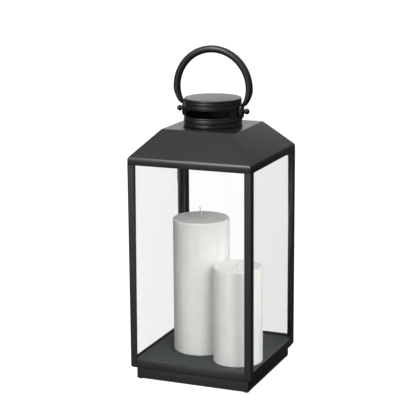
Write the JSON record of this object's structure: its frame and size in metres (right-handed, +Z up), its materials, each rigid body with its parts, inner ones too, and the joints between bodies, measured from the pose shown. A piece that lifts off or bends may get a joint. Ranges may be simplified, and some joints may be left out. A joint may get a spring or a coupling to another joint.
{
  "type": "candle lantern",
  "caption": "Square metal and glass lantern with a folded roof, vented chimney, swinging ring handle and glazed rear door, holding pillar candles.",
  "frame": {"origin": "centre of the square plinth, in the plane of the surface that the felt pads rest on", "axes": "+Z up, the fixed front pane faces -Y, the door is on +Y with its hinges at -X"},
  "size_m": [0.1824, 0.195, 0.463],
  "materials": {
    "black_paint": "satin charcoal-black powder coat",
    "floor_paint": "the same coat, paler and duller on the floor",
    "clear_glass": "clear float glass",
    "wax": "smooth white wax",
    "cotton": "waxed cotton braid",
    "felt": "black felt",
    "zinc": "dull zinc plate"
  },
  "bodies": {
    "lantern": {"base_plinth": "black_paint", "felt_pads": "felt", "floor_tray": "floor_paint", "rail_front": "black_paint", "rail_back": "black_paint", "rail_left": "black_paint", "rail_right": "black_paint", "post_front_left": "black_paint", "post_front_right": "black_paint", "post_back_left": "black_paint", "post_back_right": "black_paint", "roof_shell": "black_paint", "chimney_neck": "black_paint", "neck_collar": "black_paint", "cap_band": "black_paint", "lid_disc": "black_paint", "pivot_pin_left": "black_paint", "pivot_pin_right": "black_paint", "pivot_spacers": "black_paint", "pivot_nuts": "zinc", "glass_front": "clear_glass", "glass_left": "clear_glass", "glass_right": "clear_glass", "glass_clips": "black_paint", "hinge_upper_post_leaf": "black_paint", "hinge_upper_pin": "black_paint", "hinge_lower_post_leaf": "black_paint", "hinge_lower_pin": "black_paint", "button_screw": "zinc"},
    "handle": {"ring_handle": "black_paint"},
    "door": {"door_stile_hinge": "black_paint", "door_stile_latch": "black_paint", "door_rail_top": "black_paint", "door_rail_bottom": "black_paint", "door_glass": "clear_glass", "door_clips": "black_paint", "door_knob": "black_paint", "hinge_upper_door_leaf": "black_paint", "hinge_lower_door_leaf": "black_paint"},
    "button": {"turn_button": "black_paint"},
    "tall_candle": {"candle_tall": "wax", "wick_tall": "cotton"},
    "small_candle": {"candle_small": "wax", "wick_small": "cotton"}
  },
  "joints": [
    {"name": "handle_swing", "type": "hinge", "parent": "lantern", "child": "handle", "pos_m": [0, 0, 0.3743], "axis": [1, 0, 0], "range_deg": [-105, 105]},
    {"name": "door_swing", "type": "hinge", "parent": "lantern", "child": "door", "pos_m": [-0.0904, 0.0957, 0.16425], "axis": [0, 0, 1], "range_deg": [0, 180]},
    {"name": "button_turn", "type": "hinge", "parent": "lantern", "child": "button", "pos_m": [0, 0.0956, 0.3127], "axis": [0, 1, 0], "range_deg": [0, 90]},
    {"name": "tall_candle_lift", "type": "slide", "parent": "lantern", "child": "tall_candle", "axis": [0, 0, 1], "range_m": [0, 0.06]},
    {"name": "small_candle_lift", "type": "slide", "parent": "lantern", "child": "small_candle", "axis": [0, 0, 1], "range_m": [0, 0.06]}
  ]
}
